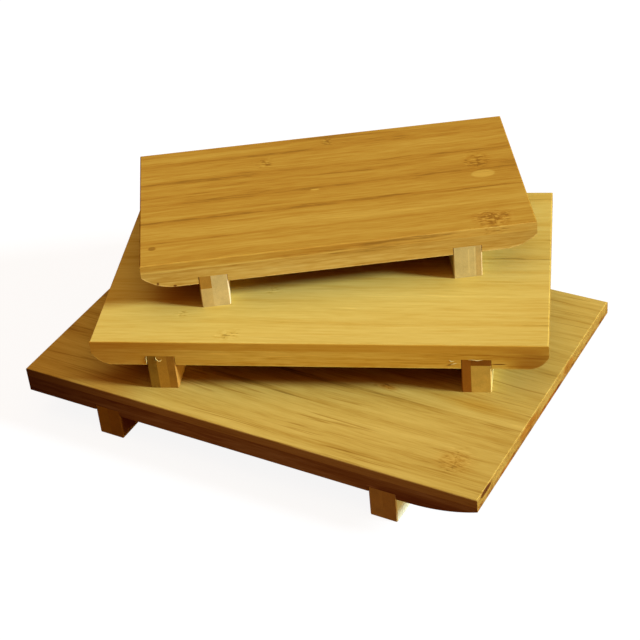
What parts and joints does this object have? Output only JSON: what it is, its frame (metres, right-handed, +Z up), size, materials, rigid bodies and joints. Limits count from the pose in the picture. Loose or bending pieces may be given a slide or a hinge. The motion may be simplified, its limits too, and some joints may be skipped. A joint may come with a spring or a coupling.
{
  "type": "sushi geta board set",
  "caption": "Fanned stack of rectangular laminated bamboo sushi serving boards, each raised on housed cross feet, with undersides that curve up towards the ends.",
  "frame": {"origin": "middle of the stack's outline seen from above, on the surface that it stands on", "axes": "+X along the large board's length, to the right as seen from its front; +Y towards its back; +Z up"},
  "size_m": [0.2766, 0.247, 0.0915],
  "materials": {
    "large_face_bamboo": "satin lacquer",
    "medium_face_bamboo": "satin lacquer",
    "small_face_bamboo": "satin lacquer",
    "large_lower_bamboo": "satin lacquer",
    "medium_lower_bamboo": "satin lacquer",
    "small_lower_bamboo": "satin lacquer",
    "pale_foot_bamboo": "satin lacquer",
    "tan_foot_bamboo": "satin lacquer",
    "brown_foot_bamboo": "satin lacquer"
  },
  "bodies": {
    "large_board": {"large_top_stave_1": "large_face_bamboo", "large_top_stave_2": "large_face_bamboo", "large_top_stave_3": "large_face_bamboo", "large_top_stave_4": "large_face_bamboo", "large_top_stave_5": "large_face_bamboo", "large_top_stave_6": "large_face_bamboo", "large_top_stave_7": "large_face_bamboo", "large_top_stave_8": "large_face_bamboo", "large_top_stave_9": "large_face_bamboo", "large_bottom_staves": "large_lower_bamboo", "large_core_staves": "large_lower_bamboo", "large_left_foot_outer_strip": "brown_foot_bamboo", "large_left_foot_inner_strip": "tan_foot_bamboo", "large_right_foot_inner_strip": "brown_foot_bamboo", "large_right_foot_outer_strip": "tan_foot_bamboo"},
    "medium_board": {"medium_top_stave_1": "medium_face_bamboo", "medium_top_stave_2": "medium_face_bamboo", "medium_top_stave_3": "medium_face_bamboo", "medium_top_stave_4": "medium_face_bamboo", "medium_top_stave_5": "medium_face_bamboo", "medium_top_stave_6": "medium_face_bamboo", "medium_top_stave_7": "medium_face_bamboo", "medium_top_stave_8": "medium_face_bamboo", "medium_bottom_staves": "medium_lower_bamboo", "medium_core_staves": "medium_lower_bamboo", "medium_left_foot_outer_strip": "tan_foot_bamboo", "medium_left_foot_middle_strip": "pale_foot_bamboo", "medium_left_foot_inner_strip": "tan_foot_bamboo", "medium_right_foot_inner_strip": "brown_foot_bamboo", "medium_right_foot_outer_strip": "pale_foot_bamboo", "medium_right_foot_top_strip": "brown_foot_bamboo"},
    "small_board": {"small_top_stave_1": "small_face_bamboo", "small_top_stave_2": "small_face_bamboo", "small_top_stave_3": "small_face_bamboo", "small_top_stave_4": "small_face_bamboo", "small_top_stave_5": "small_face_bamboo", "small_top_stave_6": "small_face_bamboo", "small_bottom_staves": "small_lower_bamboo", "small_core_staves": "small_lower_bamboo", "small_left_foot_outer_strip": "pale_foot_bamboo", "small_left_foot_top_strip": "brown_foot_bamboo", "small_left_foot_inner_strip": "pale_foot_bamboo", "small_right_foot_inner_strip": "pale_foot_bamboo", "small_right_foot_outer_strip": "tan_foot_bamboo"}
  },
  "joints": [
    {"name": "medium_board_lift", "type": "slide", "parent": "large_board", "child": "medium_board", "axis": [0, 0, 1], "range_m": [0, 0.06]},
    {"name": "small_board_lift", "type": "slide", "parent": "medium_board", "child": "small_board", "axis": [0, 0, 1], "range_m": [0, 0.06]}
  ]
}
